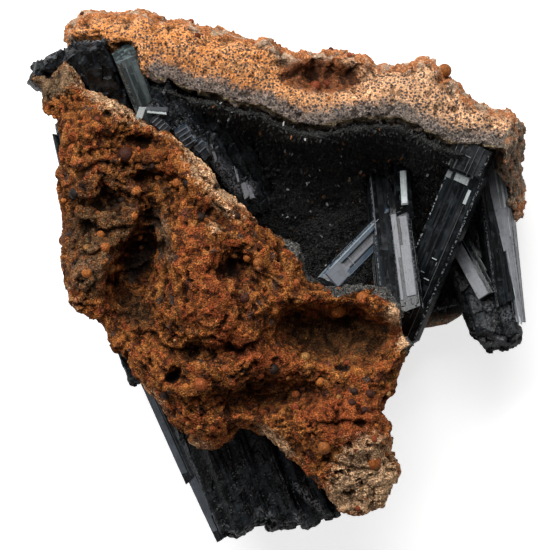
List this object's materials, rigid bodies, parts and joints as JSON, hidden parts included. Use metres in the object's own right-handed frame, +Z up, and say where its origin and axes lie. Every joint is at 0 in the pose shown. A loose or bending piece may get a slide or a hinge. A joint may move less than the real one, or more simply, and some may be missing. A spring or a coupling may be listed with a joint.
{
  "type": "vivianite crystal specimen",
  "caption": "Mineral specimen lying on its back: dark vivianite prisms bridging the open hollow between two pieces of rusty oolitic limonite.",
  "frame": {"origin": "centre of the flat face that the rock lies on, on the table", "axes": "+Z up, out of the face it lies on and out of the open hollow; +Y towards the back wall's thick rim; +X to the right when looking down on it with the rim at the top"},
  "size_m": [0.1142, 0.1204, 0.0559],
  "materials": {
    "speckled_limonite": "broken, sandy, speckled with dark grains, grey along the hollow",
    "limonite": "crumbly and matt, full of small round ooids",
    "dark_crust": "sparkling druse of tiny black crystals",
    "vivianite": "glassy, striated lengthwise, pearly on the broad faces",
    "green_vivianite": "silky green-grey, striated lengthwise"
  },
  "bodies": {
    "root": {"back_wall": "speckled_limonite", "front_slab": "limonite", "druse_crust": "dark_crust", "long_crystal": "vivianite", "middle_crystals": "vivianite", "right_crystals": "vivianite", "corner_crystals": "vivianite", "green_crystal": "green_vivianite", "ledge_crystals": "vivianite", "lower_crystals": "vivianite", "edge_splinter": "vivianite"}
  },
  "joints": []
}
